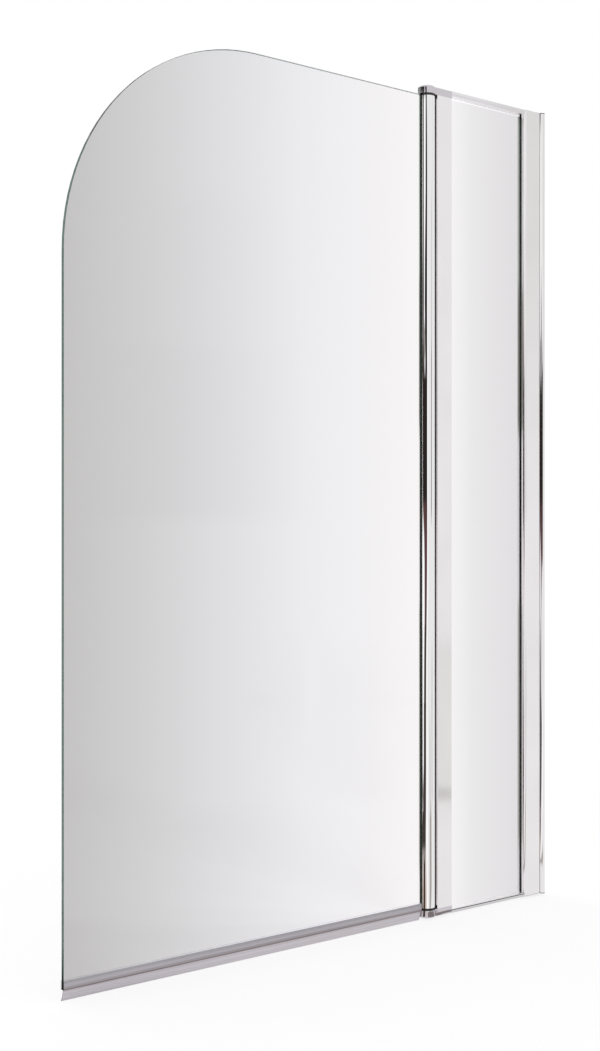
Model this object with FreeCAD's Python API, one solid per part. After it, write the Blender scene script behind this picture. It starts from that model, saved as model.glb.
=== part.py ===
import FreeCAD, Part
import math
import os

# A bath screen in two panes: a fixed framed pane beside the wall and a frameless door pane
# that swings both ways on a round hinge post.
# X runs along the screen towards the wall, Y points to the back and Z is up, in millimetres.
# The origin lies on the wall face, at half height, in the middle plane of the glass.

Vec = FreeCAD.Vector

# The whole screen
screen_height = 1435.0          # frame over its end caps
screen_width = 1001.5           # wall face to the door's free edge, frame pushed right in
hinge_axis_from_wall = 284.5
adjust_travel = 10.0            # how far the frame pulls out of the wall channel

# Glass and its rubber channels
glass_thickness = 6.0
glass_edge_chamfer = 0.5
corner_radius = 348.0           # rounded top corner of the door pane
gasket_side = 1.0               # rubber between a glass face and the metal
gasket_base = 1.0               # rubber between a glass edge and the metal
rubber_play = 0.05              # between rubber and the glass in it
glass_engagement = 12.0         # depth of the frame's glazing pockets

# Extruded stiles
stile_depth = 22.0
profile_wall = 1.6
pocket_skin = 1.2               # metal between a glazing pocket and its side chambers
hinge_stile_width = 35.0
wall_stile_width = 46.5
stile_edge_radius = 1.0
wall_stile_corner_radius = 5.0

# Rails
rail_depth = 20.0
rail_web = 1.5
top_rail_height = 9.0
bottom_rail_height = 7.0
rail_edge_radius = 0.8
rail_groove_from_edge = 5.2     # fine line along a rail's faces, from the frame's outer edge
rail_groove_width = 1.0
rail_groove_depth = 0.5

# Wall channel
channel_back = 2.0
channel_depth = 7.8             # wall face to the channel's mouth
channel_play = 0.5              # between the wall stile and the channel, on each side
nose_flat = 4.8                 # straight side of the channel, from the wall
nose_height = 4.4               # side of the channel, beyond its inside
nose_lip = 0.3                  # metal left at the channel's mouth
nose_bulge = 0.3                # how far the nose swells out of a straight slant
end_cap_play = 0.3              # between the channel's end covers and what slides by them
rib_reach = 29.0                # the ribs that guide the stile, from the wall
rib_thickness = 1.5
rib_play = 0.3
channel_cap_thickness = 1.2
wall_hole_radius = 2.75
wall_hole_count = 4
wall_hole_spacing = 400.0

# Fixing screws through the slots of the wall stile, with snap-on covers
adjust_screw_count = 3
adjust_screw_spacing = 500.0
adjust_screw_from_wall = 24.0
adjust_screw_radius = 2.0
adjust_screw_length = 8.0
adjust_head_radius = 4.0
adjust_head_height = 2.4
adjust_head_play = 0.15
slot_play = 0.3
cover_radius = 6.5
cover_wall = 1.4
cover_play = 0.3

# Wall stile end covers
stile_cap_thickness = 1.5
stile_cap_tab = 6.0
stile_cap_tab_width = 3.4
tab_play = 0.2

# Hinge post, a slotted tube
tube_radius = 14.5
tube_wall = 1.6
tube_to_stile = 1.0
pocket_from_axis = 6.6          # floor of the post's glass slot, from the hinge axis
pocket_floor_wall = 1.2
gasket_proud = 0.4

# Hinge caps, pins and bushes
cap_height = 13.5
cap_proud = 0.5                 # cap radius beyond the post
cap_overhang = 0.3              # cap arm beyond the stile's faces
cap_edge_radius = 3.5
cap_wall = 1.6
cap_cavity_length = 16.0
hinge_gap = 4.0                 # cap to post, filled by the bush flange
thrust_gap = 0.15
pin_radius = 3.0
pin_seat_depth = 9.0
pin_seat_play = 0.02
pin_running_play = 0.05
bush_radius = 4.5
bush_length = 16.0
bush_seat_play = 0.02
flange_inset = 0.5              # bush flange radius below the post's
plug_length = 25.0
plug_play = 0.1

# Screws that hold the hinge caps to the stile
cap_screw_radius = 1.65
cap_screw_length = 32.0
cap_screw_head_radius = 3.5
cap_screw_head_height = 2.0
cap_screw_from_axis = 27.0
cap_screw_side = 4.2            # from the glass's middle plane
cap_screw_boss = 3.4            # half the width of the stile's screw boss
screw_play = 0.05
screw_hole_play = 0.3

# Screws that hold the rails to the stiles and caps
rail_screw_radius = 1.4
rail_screw_length = 15.0        # thread inside the rail
rail_screw_head_radius = 2.4
rail_screw_head_height = 1.5
rail_screw_from_end = 4.2       # below the top of the frame, above its bottom
recess_depth = 0.8
recess_width = 0.7

# Rubber seal between post and hinge stile
hinge_seal_gap = 0.35
hinge_seal_half_width = 6.0
seal_neck_half = 2.0
seal_root_half = 4.0
seal_root_depth = 2.0
seal_lip_wall = 1.2             # metal in front of the seal's root
seal_play = 0.1

# Drip seal under the door pane
door_bottom_gap = 14.0          # door glass above the frame's bottom
door_top_gap = 16.0             # door glass below the frame's top
drip_wall = 1.0
drip_clip_height = 12.0
drip_web = 1.2
drip_fin_thickness = 0.9
drip_fin_start = -1.7           # front of the fin at its root, from the glass's middle plane
drip_fin_curve = 32.0           # radius to which the fin curves to the back
drip_below_frame = 4.0          # fin below the frame's bottom
drip_play = 0.05
drip_from_cap = 0.5

# Places that several pieces share
half_height = screen_height / 2
axis_x = -hinge_axis_from_wall
free_edge_x = -screen_width
pocket_half = glass_thickness / 2 + gasket_side
stile_half = stile_depth / 2
stile_hollow_half = stile_half - profile_wall
hinge_stile_left = axis_x + tube_radius + tube_to_stile
hinge_stile_right = hinge_stile_left + hinge_stile_width
wall_stile_right = -(channel_back + channel_play)
wall_stile_left = wall_stile_right - wall_stile_width
wall_stile_half_height = half_height - stile_cap_thickness
hinge_pocket_floor = hinge_stile_right - glass_engagement
wall_pocket_floor = wall_stile_left + glass_engagement
rail_floor = half_height - rail_web
cap_inner_z = half_height - cap_height
tube_half_length = cap_inner_z - hinge_gap
cap_radius = tube_radius + cap_proud
door_pocket_floor = axis_x - pocket_from_axis
door_glass_right = door_pocket_floor - gasket_base
door_glass_bottom = -half_height + door_bottom_gap
door_glass_top = half_height - door_top_gap
channel_inner_half = stile_half + channel_play
channel_outer_half = channel_inner_half + nose_height
channel_half_height = half_height - channel_cap_thickness
rib_outer = stile_hollow_half - rib_play
rib_inner = rib_outer - rib_thickness
adjust_head_y = stile_half + adjust_head_play
adjust_screw_x = -adjust_screw_from_wall
rail_screw_y = stile_hollow_half - rail_screw_head_radius - screw_play * 2
rail_screw_z = half_height - rail_screw_from_end
rail_port_radius = rail_screw_radius + screw_play
rail_hole_radius = rail_screw_radius + screw_hole_play
cap_screw_x = axis_x + cap_screw_from_axis
cap_port_radius = cap_screw_radius + screw_play
past = 1.0                      # how far a cutting tool runs past a face


def box(low_x, high_x, low_y, high_y, low_z, high_z):
    return Part.makeBox(high_x - low_x, high_y - low_y, high_z - low_z, Vec(low_x, low_y, low_z))


def rod(radius, start, end):
    direction = end - start
    return Part.makeCylinder(radius, direction.Length, start, direction)


def upright_rod(radius, x, y, low_z, high_z):
    return rod(radius, Vec(x, y, low_z), Vec(x, y, high_z))


def both_sides(shape):
    """The shape and its mirror image behind the glass's middle plane."""
    return [shape, shape.mirror(Vec(0, 0, 0), Vec(0, 1, 0))]


def upside_down(shape):
    """The same piece at the other end of the screen."""
    return shape.mirror(Vec(0, 0, 0), Vec(0, 0, 1))


def fuse_all(first, others):
    for other in others:
        first = first.fuse(other)
    return first.removeSplitter()


def cut_all(solid, tools):
    for tool in tools:
        solid = solid.cut(tool)
    return solid


def edges_along(solid, axis):
    """Straight edges parallel to an axis."""
    chosen = []
    for edge in solid.Edges:
        if isinstance(edge.Curve, Part.Line) and abs(edge.tangentAt(edge.FirstParameter).dot(axis)) > 0.999:
            chosen.append(edge)
    return chosen


def spread_heights(count, spacing):
    """Evenly spaced heights about the middle of the screen."""
    return [(index - (count - 1) / 2) * spacing for index in range(count)]


def place(shape, position, direction):
    """A copy of a shape made along +Z, turned to a direction and moved to a position."""
    placed = shape.copy()
    placed.Placement = FreeCAD.Placement(position, FreeCAD.Rotation(Vec(0, 0, 1), direction))
    return placed


def cross_recess(head_radius):
    """Cutter for a cross-head driver recess that opens at Z = 0 and goes down."""
    reach = head_radius * 0.55
    half = recess_width / 2
    one = box(-reach, reach, -half, half, -recess_depth, past)
    other = box(-half, half, -reach, reach, -recess_depth, past)
    return one.fuse(other)


def pan_screw(shank_radius, length, head_radius, head_height):
    """Screw along Z: the head stands on Z = 0 and the shank hangs below it."""
    head = upright_rod(head_radius, 0, 0, 0, head_height)
    rim = [edge for edge in head.Edges if edge.Closed and edge.BoundBox.ZMin > head_height / 2]
    head = head.makeFillet(head_height * 0.4, rim)
    head = head.cut(cross_recess(head_radius).translated(Vec(0, 0, head_height)))
    return head.fuse(upright_rod(shank_radius, 0, 0, -length, 0)).removeSplitter()


def countersunk_screw(shank_radius, length, head_radius, head_height):
    """Screw along Z with its flat head ending at Z = 0."""
    head = Part.makeCone(shank_radius, head_radius, head_height, Vec(0, 0, -head_height))
    shank = upright_rod(shank_radius, 0, 0, -length, -head_height)
    return head.fuse(shank).cut(cross_recess(head_radius))


# ---------------------------------------------------------------- wall channel


def channel_block(low_z, high_z):
    """Solid of the wall channel's outline, with a rounded slanting nose on each side."""
    mouth_half = channel_inner_half + nose_lip
    slant = Vec(channel_depth - nose_flat, channel_outer_half - mouth_half, 0)
    outward = Vec(-slant.y, slant.x, 0).normalize()
    bulge = Vec(-(channel_depth + nose_flat) / 2, (channel_outer_half + mouth_half) / 2, 0) + outward * nose_bulge
    at_mouth = Vec(-channel_depth, mouth_half, 0)
    at_side = Vec(-nose_flat, channel_outer_half, 0)
    at_wall = Vec(0, channel_outer_half, 0)
    middle = Vec(0, 0, 0)
    edges = [
        Part.LineSegment(middle, at_wall).toShape(),
        Part.LineSegment(at_wall, at_side).toShape(),
        Part.Arc(at_side, bulge, at_mouth).toShape(),
        Part.LineSegment(at_mouth, Vec(-channel_depth, 0, 0)).toShape(),
        Part.LineSegment(Vec(-channel_depth, 0, 0), middle).toShape(),
    ]
    half = Part.Face(Part.Wire(edges)).extrude(Vec(0, 0, high_z - low_z)).translated(Vec(0, 0, low_z))
    front_and_back = both_sides(half)
    return fuse_all(front_and_back[0], front_and_back[1:])


def wall_channel():
    top = channel_half_height
    body = channel_block(-top, top)
    inside = box(-channel_depth - past, -channel_back, -channel_inner_half, channel_inner_half, -top, top)
    body = body.cut(inside)
    rib_top = wall_stile_half_height - end_cap_play
    rib = box(-rib_reach, -channel_back, rib_inner, rib_outer, -rib_top, rib_top)
    body = fuse_all(body, both_sides(rib))
    tools = []
    for z in spread_heights(wall_hole_count, wall_hole_spacing):
        tools.append(rod(wall_hole_radius, Vec(-channel_back - past, 0, z), Vec(past, 0, z)))
    for z in spread_heights(adjust_screw_count, adjust_screw_spacing):
        start = Vec(adjust_screw_x, rib_inner - past, z)
        tools.append(rod(adjust_screw_radius + screw_play, start, Vec(adjust_screw_x, rib_outer + past, z)))
    return cut_all(body, tools)


def channel_cap():
    """Top cover of the wall channel, with a tab between the guide ribs."""
    plate = channel_block(channel_half_height, half_height)
    tab_half = rib_inner - tab_play
    tab_right = -(channel_back + tab_play)
    tab = box(-channel_depth + past, tab_right, -tab_half, tab_half,
              channel_half_height - stile_cap_tab, channel_half_height)
    return plate.fuse(tab)


def adjust_screws():
    screw = pan_screw(adjust_screw_radius, adjust_screw_length, adjust_head_radius, adjust_head_height)
    screws = []
    for z in spread_heights(adjust_screw_count, adjust_screw_spacing):
        screws.append(place(screw, Vec(adjust_screw_x, adjust_head_y, z), Vec(0, 1, 0)))
    return screws


def screw_covers():
    """Domed covers that snap over the heads of the fixing screws."""
    inner_radius = adjust_head_radius + cover_play
    inner_height = adjust_head_play + adjust_head_height
    outer_height = inner_height + cover_wall
    dome = upright_rod(cover_radius, 0, 0, 0, outer_height)
    rim = [edge for edge in dome.Edges if edge.Closed and edge.BoundBox.ZMin > outer_height / 2]
    dome = dome.makeFillet(cover_wall, rim)
    dome = dome.cut(upright_rod(inner_radius, 0, 0, -past, inner_height))
    covers = []
    for z in spread_heights(adjust_screw_count, adjust_screw_spacing):
        seat = Vec(adjust_screw_x, stile_half + cover_play, z)
        covers.append(place(dome, seat, Vec(0, 1, 0)))
    return covers


# ------------------------------------------------------------ stiles and rails


def stile_chambers(pocket_floor, mouth_x, top, corner_radius=0.0):
    """Cutters for a glazing pocket and the hollow chambers in front of it and behind it."""
    inward = 1 if mouth_x < pocket_floor else -1
    pocket_ends = sorted((mouth_x - inward * past, pocket_floor))
    chamber_ends = sorted((mouth_x + inward * profile_wall, pocket_floor))
    pocket = box(pocket_ends[0], pocket_ends[1], -pocket_half, pocket_half, -top, top)
    side = box(chamber_ends[0], chamber_ends[1], pocket_half + pocket_skin, stile_hollow_half, -top, top)
    inner_radius = corner_radius - profile_wall
    if inner_radius > 0:
        corner = Vec(mouth_x + inward * profile_wall, stile_hollow_half, 0)
        side = side.makeFillet(inner_radius, upright_edges_near(side, corner))
    return [pocket] + both_sides(side)


def upright_edges_near(solid, corner):
    """The upright edge of a solid that passes a point of the plan."""
    chosen = []
    for edge in edges_along(solid, Vec(0, 0, 1)):
        if math.hypot(edge.CenterOfMass.x - corner.x, edge.CenterOfMass.y - corner.y) < profile_wall / 2:
            chosen.append(edge)
    return chosen


def wall_stile_block(right, low_z, high_z):
    """Solid of the wall stile's outline, with its two large rounded corners."""
    body = box(wall_stile_left, right, -stile_half, stile_half, low_z, high_z)
    corners = [edge for edge in edges_along(body, Vec(0, 0, 1)) if edge.CenterOfMass.x < wall_stile_left + past]
    return body.makeFillet(wall_stile_corner_radius, corners)


def rail_screw_holes(low_x, high_x):
    """Clearance holes for the rail screws, at both ends of a stile."""
    holes = []
    for z in (-rail_screw_z, rail_screw_z):
        hole = rod(rail_hole_radius, Vec(low_x, rail_screw_y, z), Vec(high_x, rail_screw_y, z))
        holes += both_sides(hole)
    return holes


def wall_stile():
    top = wall_stile_half_height
    body = wall_stile_block(wall_stile_right, -top, top)
    main_left = wall_pocket_floor + profile_wall
    main = box(main_left, wall_stile_right + past, -stile_hollow_half, stile_hollow_half, -top, top)
    tools = stile_chambers(wall_pocket_floor, wall_stile_left, top, wall_stile_corner_radius)
    tools.append(main)
    tools += rail_screw_holes(wall_stile_left - past, main_left + past)
    slot_half = adjust_screw_radius + slot_play
    for z in spread_heights(adjust_screw_count, adjust_screw_spacing):
        tools.append(adjust_slot(slot_half, z))
    return cut_all(body, tools)


def adjust_slot(slot_half, z):
    """Cutter for a level slot in the stile's back wall, as long as the frame travels."""
    start = adjust_screw_x
    end = adjust_screw_x + adjust_travel
    low_y = stile_hollow_half - past
    high_y = stile_half + past
    middle = box(start, end, low_y, high_y, z - slot_half, z + slot_half)
    ends = [rod(slot_half, Vec(x, low_y, z), Vec(x, high_y, z)) for x in (start, end)]
    return fuse_all(middle, ends)


def wall_stile_cap():
    """Top cover of the wall stile, with a tab inside its main chamber."""
    right = -(channel_depth + end_cap_play)
    plate = wall_stile_block(right, wall_stile_half_height, half_height)
    tab_left = wall_pocket_floor + profile_wall + rail_screw_head_height + tab_play * 2
    tab_half = stile_hollow_half - tab_play
    tab_bottom = wall_stile_half_height - stile_cap_tab
    tab = box(tab_left, tab_left + stile_cap_tab_width, -tab_half, tab_half, tab_bottom, wall_stile_half_height)
    return plate.fuse(tab)


def hinge_stile():
    top = cap_inner_z
    left = hinge_stile_left
    body = box(left, hinge_stile_right, -stile_half, stile_half, -top, top)
    body = body.makeFillet(stile_edge_radius, edges_along(body, Vec(0, 0, 1)))
    root_right = left + seal_lip_wall + seal_root_depth
    main_left = root_right + profile_wall
    main_right = hinge_pocket_floor - profile_wall
    main = box(main_left, main_right, -stile_hollow_half, stile_hollow_half, -top, top)
    boss = box(cap_screw_x - cap_screw_boss, cap_screw_x + cap_screw_boss,
               cap_screw_side - cap_screw_boss, stile_hollow_half + past / 2, -top, top)
    tools = stile_chambers(hinge_pocket_floor, hinge_stile_right, top)
    tools.append(cut_all(main, both_sides(boss)))
    tools.append(box(left - past, left + seal_lip_wall, -seal_neck_half, seal_neck_half, -top, top))
    tools.append(box(left + seal_lip_wall, root_right, -seal_root_half, seal_root_half, -top, top))
    tools += both_sides(upright_rod(cap_port_radius, cap_screw_x, cap_screw_side, -top, top))
    return cut_all(body, tools)


def rail(height):
    """Top rail, coped round the wall stile; the bottom one is a lower section, turned over."""
    low_z = half_height - height
    half = rail_depth / 2
    body = box(hinge_stile_right, wall_stile_left + wall_stile_corner_radius, -half, half, low_z, half_height)
    body = body.makeFillet(rail_edge_radius, edges_along(body, Vec(1, 0, 0)))
    body = body.cut(wall_stile_block(wall_stile_right, low_z - past, half_height + past))
    body = cut_all(body, both_sides(rail_groove(half)))
    slot = box(hinge_stile_right - past, wall_stile_left + past, -pocket_half, pocket_half,
               low_z - past, rail_floor)
    start = Vec(hinge_stile_right - past, rail_screw_y, rail_screw_z)
    port = rod(rail_port_radius, start, Vec(wall_stile_left + past, rail_screw_y, rail_screw_z))
    return cut_all(body, [slot] + both_sides(port))


def rail_groove(half):
    """Cutter for the fine V line along one face of a rail."""
    middle_z = half_height - rail_groove_from_edge
    left = hinge_stile_right - past
    corners = [
        Vec(left, half - rail_groove_depth, middle_z),
        Vec(left, half, middle_z - rail_groove_width / 2),
        Vec(left, half + past, middle_z),
        Vec(left, half, middle_z + rail_groove_width / 2),
    ]
    face = Part.Face(Part.makePolygon(corners + corners[:1]))
    return face.extrude(Vec(wall_stile_left + wall_stile_corner_radius + past - left, 0, 0))


def rail_screws():
    """Two screws at each of the frame's four corners."""
    main_left = wall_pocket_floor + profile_wall
    through_stile = main_left - wall_stile_left
    at_wall = pan_screw(rail_screw_radius, through_stile + rail_screw_length,
                        rail_screw_head_radius, rail_screw_head_height)
    at_hinge = pan_screw(rail_screw_radius, cap_wall + rail_screw_length,
                         rail_screw_head_radius, rail_screw_head_height)
    screws = []
    for z in (-rail_screw_z, rail_screw_z):
        wall_seat = Vec(main_left, rail_screw_y, z)
        hinge_seat = Vec(hinge_stile_right - cap_wall, rail_screw_y, z)
        screws += both_sides(place(at_wall, wall_seat, Vec(1, 0, 0)))
        screws += both_sides(place(at_hinge, hinge_seat, Vec(-1, 0, 0)))
    return screws


# ------------------------------------------------------------ panes and rubber


def fixed_glass():
    half = glass_thickness / 2
    left = hinge_pocket_floor + gasket_base
    right = wall_pocket_floor - gasket_base
    top = rail_floor - gasket_base
    pane = box(left, right, -half, half, -top, top)
    return pane.makeChamfer(glass_edge_chamfer, pane.Edges)


def stile_gasket(pocket_floor, mouth_x, top):
    """Rubber channel round an upright edge of the fixed pane."""
    inward = 1 if mouth_x < pocket_floor else -1
    outer_ends = sorted((mouth_x, pocket_floor))
    glass_ends = sorted((mouth_x - inward * past, pocket_floor - inward * (gasket_base - rubber_play)))
    half = glass_thickness / 2 + rubber_play
    outer = box(outer_ends[0], outer_ends[1], -pocket_half, pocket_half, -top, top)
    return outer.cut(box(glass_ends[0], glass_ends[1], -half, half, -top, top))


def rail_gasket(height):
    """Rubber channel round the top edge of the fixed pane."""
    low_z = half_height - height
    half = glass_thickness / 2 + rubber_play
    glass_top = rail_floor - gasket_base + rubber_play
    outer = box(hinge_stile_right, wall_stile_left, -pocket_half, pocket_half, low_z, rail_floor)
    return outer.cut(box(hinge_stile_right, wall_stile_left, -half, half, low_z, glass_top))


def door_glass():
    """Door pane with one large rounded top corner."""
    half = glass_thickness / 2
    corner_x = free_edge_x + corner_radius
    corner_z = door_glass_top - corner_radius
    diagonal = corner_radius * math.sqrt(0.5)
    bottom_left = Vec(free_edge_x, -half, door_glass_bottom)
    bottom_right = Vec(door_glass_right, -half, door_glass_bottom)
    top_right = Vec(door_glass_right, -half, door_glass_top)
    arc_top = Vec(corner_x, -half, door_glass_top)
    arc_middle = Vec(corner_x - diagonal, -half, corner_z + diagonal)
    arc_bottom = Vec(free_edge_x, -half, corner_z)
    edges = [
        Part.LineSegment(bottom_left, bottom_right).toShape(),
        Part.LineSegment(bottom_right, top_right).toShape(),
        Part.LineSegment(top_right, arc_top).toShape(),
        Part.Arc(arc_top, arc_middle, arc_bottom).toShape(),
        Part.LineSegment(arc_bottom, bottom_left).toShape(),
    ]
    pane = Part.Face(Part.Wire(edges)).extrude(Vec(0, glass_thickness, 0))
    rims = [edge for edge in pane.Edges if edge.BoundBox.YLength < half]
    return pane.makeChamfer(glass_edge_chamfer, rims)


def hinge_seal():
    """Rubber strip on the stile that follows the round of the post."""
    top = cap_inner_z
    left = hinge_stile_left
    face = box(axis_x, left, -hinge_seal_half_width, hinge_seal_half_width, -top, top)
    face = face.cut(upright_rod(tube_radius + hinge_seal_gap, axis_x, 0, -top - past, top + past))
    neck_half = seal_neck_half - seal_play
    root_half = seal_root_half - seal_play
    root_left = left + seal_lip_wall + seal_play
    root_right = left + seal_lip_wall + seal_root_depth - seal_play
    neck = box(left, root_right, -neck_half, neck_half, -top, top)
    root = box(root_left, root_right, -root_half, root_half, -top, top)
    return fuse_all(face, [neck, root])


def drip_seal():
    """Clear strip that clips on the door pane's bottom edge, with a fin that curves to the back."""
    inner = glass_thickness / 2 + drip_play
    outer = inner + drip_wall
    web_top = door_glass_bottom - drip_play
    web_bottom = web_top - drip_web
    left = free_edge_x
    right = axis_x - cap_radius - drip_from_cap
    clip_top = door_glass_bottom + drip_clip_height
    clip = box(left, right, -outer, outer, web_bottom, clip_top)
    clip = clip.cut(box(left - past, right + past, -inner, inner, web_top, clip_top + past))
    root_z = web_bottom + drip_web / 2
    foot_z = -half_height - drip_below_frame
    sweep = math.asin((root_z - foot_z) / drip_fin_curve)
    centre = Vec(left, drip_fin_start + drip_fin_curve, root_z)
    front = [curve_point(centre, drip_fin_curve, share * sweep) for share in (0, 0.5, 1)]
    back = [curve_point(centre, drip_fin_curve - drip_fin_thickness, share * sweep) for share in (0, 0.5, 1)]
    edges = [
        Part.Arc(*front).toShape(),
        Part.LineSegment(front[2], back[2]).toShape(),
        Part.Arc(back[2], back[1], back[0]).toShape(),
        Part.LineSegment(back[0], front[0]).toShape(),
    ]
    fin = Part.Face(Part.Wire(edges)).extrude(Vec(right - left, 0, 0))
    return fuse_all(clip, [fin])


def curve_point(centre, radius, angle):
    """Point of the drip fin's curve, which starts downwards and turns to the back."""
    return centre + Vec(0, -radius * math.cos(angle), -radius * math.sin(angle))


# ------------------------------------------------------------- hinge and post


def door_pocket(low_z, high_z):
    """Cutter for the post's glass slot."""
    return box(axis_x - tube_radius - past, door_pocket_floor, -pocket_half, pocket_half, low_z, high_z)


def hinge_tube():
    top = tube_half_length
    outer = upright_rod(tube_radius, axis_x, 0, -top, top)
    bore = upright_rod(tube_radius - tube_wall, axis_x, 0, -top, top)
    web_half = pocket_half + pocket_skin
    web = box(axis_x - tube_radius, door_pocket_floor + pocket_floor_wall, -web_half, web_half, -top, top)
    tube = outer.cut(bore).fuse(web.common(outer)).removeSplitter()
    return tube.cut(door_pocket(-top, top))


def door_gasket():
    """Rubber channel round the hinge edge of the door pane."""
    top = tube_half_length
    half = glass_thickness / 2 + rubber_play
    mouth_x = axis_x - math.sqrt(tube_radius ** 2 - pocket_half ** 2) - gasket_proud
    outer = box(mouth_x, door_pocket_floor, -pocket_half, pocket_half, -top, top)
    return outer.cut(box(mouth_x - past, door_glass_right + rubber_play, -half, half, -top, top))


def tube_plug():
    """Plug in the top end of the post, flat where the glass slot passes, with a seat for the bush."""
    top = tube_half_length
    low_z = top - plug_length
    radius = tube_radius - tube_wall - plug_play
    flat_x = door_pocket_floor + pocket_floor_wall + plug_play
    body = upright_rod(radius, axis_x, 0, low_z, top)
    beside_slot = box(axis_x - tube_radius, flat_x, -tube_radius, tube_radius, low_z, top)
    seat = upright_rod(bush_radius + bush_seat_play, axis_x, 0, low_z - past, top + past)
    return cut_all(body, [beside_slot, seat])


def bush():
    """Flanged bush at the top of the post; its flange takes the thrust against the cap."""
    top = tube_half_length
    flange_top = cap_inner_z - thrust_gap
    flange = upright_rod(tube_radius - flange_inset, axis_x, 0, top, flange_top)
    flange = flange.cut(door_pocket(top - past, flange_top + past))
    barrel = upright_rod(bush_radius, axis_x, 0, top - bush_length, top)
    bore = upright_rod(pin_radius + pin_running_play, axis_x, 0, top - bush_length - past, flange_top + past)
    return flange.fuse(barrel).cut(bore)


def pivot_pin():
    """Steel pin fixed in the top cap and running in the bush."""
    seat_end = cap_inner_z + pin_seat_depth - pin_seat_play
    return upright_rod(pin_radius, axis_x, 0, tube_half_length - bush_length, seat_end)


def hinge_cap():
    """Cast top cap: round over the post, with an arm that covers the end of the stile."""
    low_z = cap_inner_z
    top = half_height
    arm_half = stile_half + cap_overhang
    round_end = upright_rod(cap_radius, axis_x, 0, low_z, top)
    arm = box(axis_x, hinge_stile_right, -arm_half, arm_half, low_z, top)
    body = round_end.fuse(arm).removeSplitter()
    rim = []
    for edge in body.Edges:
        at_top = edge.BoundBox.ZMin > top - cap_edge_radius
        beside_rail = edge.BoundBox.XMin > hinge_stile_right - cap_edge_radius
        if at_top and not beside_rail:
            rim.append(edge)
    body = body.makeFillet(cap_edge_radius, rim)
    cavity = box(hinge_stile_right - cap_cavity_length, hinge_stile_right - cap_wall,
                 -stile_hollow_half, stile_hollow_half, low_z - past, top - profile_wall)
    glass_notch = box(hinge_pocket_floor, hinge_stile_right + past, -pocket_half, pocket_half,
                      low_z - past, rail_floor)
    pin_seat = upright_rod(pin_radius + pin_seat_play, axis_x, 0, low_z - past, low_z + pin_seat_depth)
    tools = [cavity, glass_notch, pin_seat]
    tools += rail_screw_holes(hinge_stile_right - cap_wall - past, hinge_stile_right + past)
    hole_radius = cap_screw_radius + screw_hole_play
    screw_hole = upright_rod(hole_radius, cap_screw_x, cap_screw_side, low_z - past, top + past)
    head_depth = cap_screw_head_height + screw_play
    sink_radius = cap_screw_head_radius + screw_play * 2
    sink = Part.makeCone(hole_radius, sink_radius, head_depth, Vec(cap_screw_x, cap_screw_side, top - head_depth))
    tools += both_sides(screw_hole)
    tools += both_sides(sink)
    return cut_all(body, tools)


def cap_screws():
    """Two screws down through each hinge cap into the stile."""
    screw = countersunk_screw(cap_screw_radius, cap_screw_length, cap_screw_head_radius, cap_screw_head_height)
    at_top = both_sides(place(screw, Vec(cap_screw_x, cap_screw_side, half_height - screw_play), Vec(0, 0, 1)))
    return at_top + [upside_down(one) for one in at_top]


# ------------------------------------------------------------------ all pieces


def all_pieces():
    """Every node of the screen, as a list of its solids."""
    cap = channel_cap()
    stile_cap = wall_stile_cap()
    top_cap = hinge_cap()
    pin = pivot_pin()
    plug = tube_plug()
    top_bush = bush()
    return {
        "wall_channel": [wall_channel()],
        "channel_cap_top": [cap],
        "channel_cap_bottom": [upside_down(cap)],
        "adjust_screws": adjust_screws(),
        "screw_covers": screw_covers(),
        "wall_stile": [wall_stile()],
        "wall_stile_cap_top": [stile_cap],
        "wall_stile_cap_bottom": [upside_down(stile_cap)],
        "hinge_stile": [hinge_stile()],
        "top_rail": [rail(top_rail_height)],
        "bottom_rail": [upside_down(rail(bottom_rail_height))],
        "rail_screws": rail_screws(),
        "fixed_glass": [fixed_glass()],
        "gasket_wall_side": [stile_gasket(wall_pocket_floor, wall_stile_left, wall_stile_half_height)],
        "gasket_hinge_side": [stile_gasket(hinge_pocket_floor, hinge_stile_right, cap_inner_z)],
        "gasket_top": [rail_gasket(top_rail_height)],
        "gasket_bottom": [upside_down(rail_gasket(bottom_rail_height))],
        "hinge_cap_top": [top_cap],
        "hinge_cap_bottom": [upside_down(top_cap)],
        "cap_screws": cap_screws(),
        "pivot_pins": [pin, upside_down(pin)],
        "hinge_seal": [hinge_seal()],
        "hinge_tube": [hinge_tube()],
        "tube_plug_top": [plug],
        "tube_plug_bottom": [upside_down(plug)],
        "bush_top": [top_bush],
        "bush_bottom": [upside_down(top_bush)],
        "door_gasket": [door_gasket()],
        "door_glass": [door_glass()],
        "drip_seal": [drip_seal()],
    }


def solids_of(shapes):
    """The plain solids inside a list of shapes."""
    solids = []
    for shape in shapes:
        solids += shape.Solids
    return solids


os.makedirs("parts", exist_ok=True)
for node, shapes in all_pieces().items():
    solids = solids_of(shapes)
    if len(solids) != len(shapes):
        raise ValueError(node + " should be " + str(len(shapes)) + " solids, not " + str(len(solids)))
    piece = solids[0] if len(solids) == 1 else Part.makeCompound(solids)
    if not piece.isValid():
        raise ValueError(node + " is not a valid shape")
    piece.exportStep("parts/" + node + ".step")
    print(node, len(solids), "solids", round(piece.Volume / 1000, 2), "cm3")
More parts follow.
